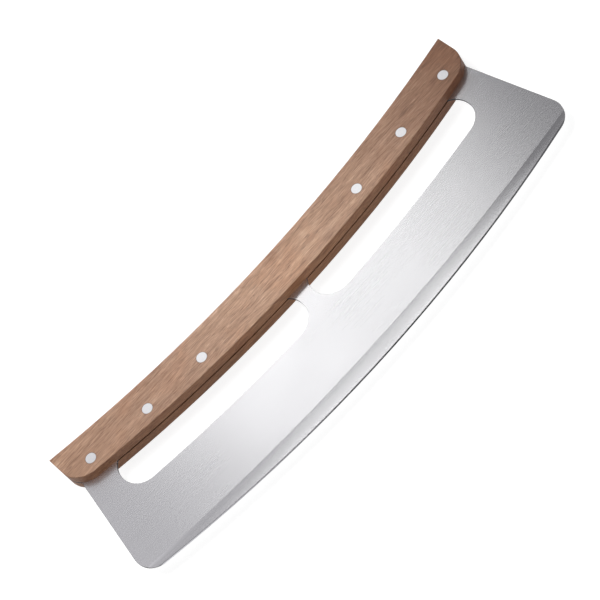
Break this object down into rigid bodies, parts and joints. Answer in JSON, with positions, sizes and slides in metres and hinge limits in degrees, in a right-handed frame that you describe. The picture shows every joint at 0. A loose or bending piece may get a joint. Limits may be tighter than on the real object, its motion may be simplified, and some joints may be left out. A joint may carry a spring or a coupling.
{
  "type": "rocking pizza knife",
  "caption": "Rocking pizza knife: a wide thin steel blade with a curved ground edge and long finger windows, riveted between curved wooden handle scales.",
  "frame": {"origin": "centre of the knife's outline on the plane of the rear scale's outer face, on which it lies", "axes": "+X along the knife, +Y from the cutting edge to the top of the handle, +Z out of the front face"},
  "size_m": [0.35, 0.1182, 0.0136],
  "materials": {
    "blade_steel": "fine brushed, with a ground bevel along the edge",
    "handle_wood": "smooth oiled, straight grain along the handle",
    "rivet_metal": "polished flush with the wood"
  },
  "bodies": {
    "root": {"blade": "blade_steel", "front_scale": "handle_wood", "rear_scale": "handle_wood", "rivet_pin_1": "rivet_metal", "rivet_pin_2": "rivet_metal", "rivet_pin_3": "rivet_metal", "rivet_pin_4": "rivet_metal", "rivet_pin_5": "rivet_metal", "rivet_pin_6": "rivet_metal", "rivet_sleeve_1": "rivet_metal", "rivet_sleeve_2": "rivet_metal", "rivet_sleeve_3": "rivet_metal", "rivet_sleeve_4": "rivet_metal", "rivet_sleeve_5": "rivet_metal", "rivet_sleeve_6": "rivet_metal"}
  },
  "joints": []
}
